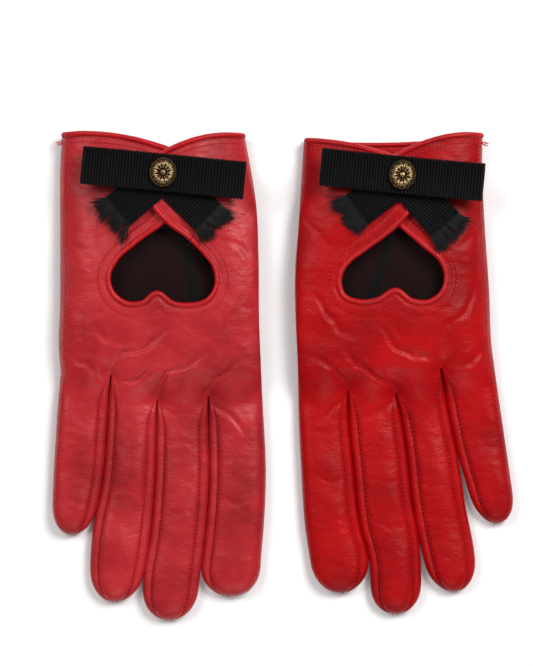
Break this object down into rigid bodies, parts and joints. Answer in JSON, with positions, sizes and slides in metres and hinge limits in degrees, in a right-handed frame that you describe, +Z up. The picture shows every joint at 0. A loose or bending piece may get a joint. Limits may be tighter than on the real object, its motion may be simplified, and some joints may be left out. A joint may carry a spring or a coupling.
{
  "type": "pair of leather driving gloves",
  "caption": "Pair of women's short red leather driving gloves with heart-shaped cut-outs on the backs, lapped cuff tabs, black ribbon bows and brass studs.",
  "frame": {"origin": "middle of the pair's footprint, on the surface that it lies on", "axes": "+Z up, from palm to back; +Y from fingers to cuffs; +X from the right-hand glove to the left-hand glove"},
  "size_m": [0.1998, 0.2152, 0.0281],
  "materials": {
    "red_leather": "satin, fine grain",
    "binding_leather": "satin, rolled",
    "lining_knit": "matte fine knit",
    "grosgrain": "ribbed ribbon, low sheen",
    "antique_brass": "antiqued, satin",
    "label_satin": "woven satin"
  },
  "bodies": {
    "right_hand": {"right_back_leather": "red_leather", "right_palm_leather": "red_leather", "right_back_lining": "lining_knit", "right_palm_lining": "lining_knit", "right_edge_binding": "binding_leather", "right_bow_tails": "grosgrain", "right_bow_loop": "grosgrain", "right_stud": "antique_brass", "right_stud_backplate": "antique_brass", "right_care_label": "label_satin"},
    "right_little_finger": {"right_little_back": "red_leather", "right_little_palm": "red_leather", "right_little_inner_fourchette": "red_leather", "right_little_lining": "lining_knit"},
    "right_ring_finger": {"right_ring_back": "red_leather", "right_ring_palm": "red_leather", "right_ring_outer_fourchette": "red_leather", "right_ring_inner_fourchette": "red_leather", "right_ring_lining": "lining_knit"},
    "right_middle_finger": {"right_middle_back": "red_leather", "right_middle_palm": "red_leather", "right_middle_outer_fourchette": "red_leather", "right_middle_inner_fourchette": "red_leather", "right_middle_lining": "lining_knit"},
    "right_index_finger": {"right_index_back": "red_leather", "right_index_palm": "red_leather", "right_index_outer_fourchette": "red_leather", "right_index_lining": "lining_knit"},
    "right_thumb": {"right_thumb_leather": "red_leather", "right_thumb_lining": "lining_knit"},
    "left_hand": {"left_back_leather": "red_leather", "left_palm_leather": "red_leather", "left_back_lining": "lining_knit", "left_palm_lining": "lining_knit", "left_edge_binding": "binding_leather", "left_bow_tails": "grosgrain", "left_bow_loop": "grosgrain", "left_stud": "antique_brass", "left_stud_backplate": "antique_brass"},
    "left_little_finger": {"left_little_back": "red_leather", "left_little_palm": "red_leather", "left_little_inner_fourchette": "red_leather", "left_little_lining": "lining_knit"},
    "left_ring_finger": {"left_ring_back": "red_leather", "left_ring_palm": "red_leather", "left_ring_outer_fourchette": "red_leather", "left_ring_inner_fourchette": "red_leather", "left_ring_lining": "lining_knit"},
    "left_middle_finger": {"left_middle_back": "red_leather", "left_middle_palm": "red_leather", "left_middle_outer_fourchette": "red_leather", "left_middle_inner_fourchette": "red_leather", "left_middle_lining": "lining_knit"},
    "left_index_finger": {"left_index_back": "red_leather", "left_index_palm": "red_leather", "left_index_outer_fourchette": "red_leather", "left_index_lining": "lining_knit"},
    "left_thumb": {"left_thumb_leather": "red_leather", "left_thumb_lining": "lining_knit"}
  },
  "joints": [
    {"name": "right_little_lift", "type": "hinge", "parent": "right_hand", "child": "right_little_finger", "pos_m": [-0.08656, -0.00206, 0.0108], "axis": [-0.9995, 0.0317, 0], "range_deg": [0, 80]},
    {"name": "right_ring_lift", "type": "hinge", "parent": "right_hand", "child": "right_ring_finger", "pos_m": [-0.06546, -0.01356, 0.0108], "axis": [-0.9995, 0.0317, 0], "range_deg": [0, 80]},
    {"name": "right_middle_lift", "type": "hinge", "parent": "right_hand", "child": "right_middle_finger", "pos_m": [-0.04356, -0.01356, 0.0108], "axis": [-0.9995, 0.0317, 0], "range_deg": [0, 80]},
    {"name": "right_index_lift", "type": "hinge", "parent": "right_hand", "child": "right_index_finger", "pos_m": [-0.02046, -0.01156, 0.0108], "axis": [-0.9995, 0.0317, 0], "range_deg": [0, 80]},
    {"name": "right_thumb_swing", "type": "hinge", "parent": "right_hand", "child": "right_thumb", "pos_m": [-0.02816, 0.05244, 0.0082], "axis": [0, 0, 1], "range_deg": [0, 60]},
    {"name": "left_little_lift", "type": "hinge", "parent": "left_hand", "child": "left_little_finger", "pos_m": [0.08134, 0.00094, 0.0108], "axis": [-0.9912, -0.1321, 0], "range_deg": [0, 80]},
    {"name": "left_ring_lift", "type": "hinge", "parent": "left_hand", "child": "left_ring_finger", "pos_m": [0.06114, -0.01056, 0.0108], "axis": [-0.9912, -0.1321, 0], "range_deg": [0, 80]},
    {"name": "left_middle_lift", "type": "hinge", "parent": "left_hand", "child": "left_middle_finger", "pos_m": [0.03954, -0.01056, 0.0108], "axis": [-0.9912, -0.1321, 0], "range_deg": [0, 80]},
    {"name": "left_index_lift", "type": "hinge", "parent": "left_hand", "child": "left_index_finger", "pos_m": [0.01764, -0.00906, 0.0108], "axis": [-0.9912, -0.1321, 0], "range_deg": [0, 80]},
    {"name": "left_thumb_swing", "type": "hinge", "parent": "left_hand", "child": "left_thumb", "pos_m": [0.02384, 0.05244, 0.0082], "axis": [0, 0, -1], "range_deg": [0, 60]},
    {"name": "gloves_apart", "type": "slide", "parent": "right_hand", "child": "left_hand", "axis": [1, 0, 0], "range_m": [0, 0.03]}
  ]
}
